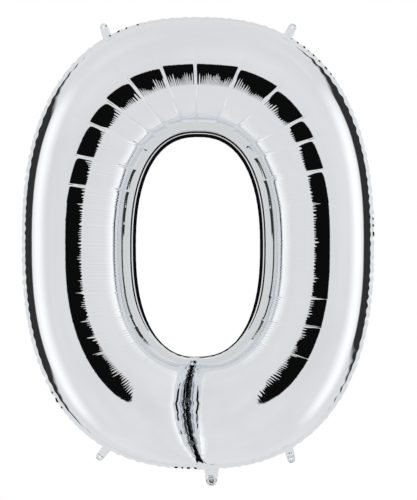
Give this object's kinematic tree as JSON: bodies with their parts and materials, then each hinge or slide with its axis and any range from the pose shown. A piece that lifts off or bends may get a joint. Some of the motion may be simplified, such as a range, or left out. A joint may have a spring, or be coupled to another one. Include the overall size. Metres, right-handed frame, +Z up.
{
  "type": "foil number balloon",
  "caption": "Inflated silver foil balloon shaped as the digit zero, with an open centre, punched hanging tabs, a split lower joint and a self-sealing filling neck.",
  "frame": {"origin": "centre of the whole balloon's box, filling neck included; the seam plane is Y = 0", "axes": "+X to the right seen from the front, front faces -Y, +Z up, the way it hangs"},
  "size_m": [0.7019, 0.208, 0.936],
  "materials": {
    "silver_foil": "mirror-bright metallised film, finely wrinkled along the seams",
    "valve_film": "thin clear polyethylene film",
    "adhesive": "double-sided adhesive pad, satin"
  },
  "bodies": {
    "balloon": {"front_foil_panel": "silver_foil", "back_foil_panel": "silver_foil", "outer_seam": "silver_foil", "hole_seam": "silver_foil", "left_end_seam": "silver_foil", "right_end_seam": "silver_foil", "upper_join_pad": "adhesive", "lower_join_pad": "adhesive"},
    "hang_tab_top_left": {"hang_tab_top_left": "silver_foil"},
    "hang_tab_top_right": {"hang_tab_top_right": "silver_foil"},
    "hang_tab_bottom_left": {"hang_tab_bottom_left": "silver_foil"},
    "hang_tab_bottom_right": {"hang_tab_bottom_right": "silver_foil"},
    "filling_neck": {"neck_front_foil": "silver_foil", "neck_back_foil": "silver_foil", "neck_front_liner": "valve_film", "neck_back_liner": "valve_film"},
    "valve_front": {"valve_front_film": "valve_film"},
    "valve_back": {"valve_back_film": "valve_film"}
  },
  "joints": [
    {"name": "top_left_tab_fold", "type": "hinge", "parent": "balloon", "child": "hang_tab_top_left", "pos_m": [-0.18171, 0, 0.43133], "axis": [0.9397, 0, 0.342], "range_deg": [-90, 90], "stiffness_Nm_per_rad": 0.0002},
    {"name": "top_right_tab_fold", "type": "hinge", "parent": "balloon", "child": "hang_tab_top_right", "pos_m": [0.17942, 0, 0.43128], "axis": [0.8829, 0, -0.4695], "range_deg": [-90, 90], "stiffness_Nm_per_rad": 0.0002},
    {"name": "bottom_left_tab_fold", "type": "hinge", "parent": "balloon", "child": "hang_tab_bottom_left", "pos_m": [-0.1842, 0, -0.39379], "axis": [-0.788, 0, 0.6157], "range_deg": [-90, 90], "stiffness_Nm_per_rad": 0.0002},
    {"name": "bottom_right_tab_fold", "type": "hinge", "parent": "balloon", "child": "hang_tab_bottom_right", "pos_m": [0.18171, 0, -0.39604], "axis": [-0.9659, 0, -0.2588], "range_deg": [-90, 90], "stiffness_Nm_per_rad": 0.0002},
    {"name": "filling_neck_fold", "type": "hinge", "parent": "balloon", "child": "filling_neck", "pos_m": [0.027, 0, -0.43295], "axis": [-1, 0, 0], "range_deg": [-90, 90], "stiffness_Nm_per_rad": 0.0004},
    {"name": "valve_front_part", "type": "hinge", "parent": "balloon", "child": "valve_front", "pos_m": [0.027, 0, -0.421], "axis": [1, 0, 0], "range_deg": [0, 2.5], "stiffness_Nm_per_rad": 0.0004},
    {"name": "valve_back_part", "type": "hinge", "parent": "balloon", "child": "valve_back", "pos_m": [0.027, 0, -0.421], "axis": [1, 0, 0], "range_deg": [-2.5, 0], "stiffness_Nm_per_rad": 0.0004}
  ],
  "couplings": [
    {"joint": "valve_back_part", "follows": "valve_front_part", "ratio": -1}
  ]
}
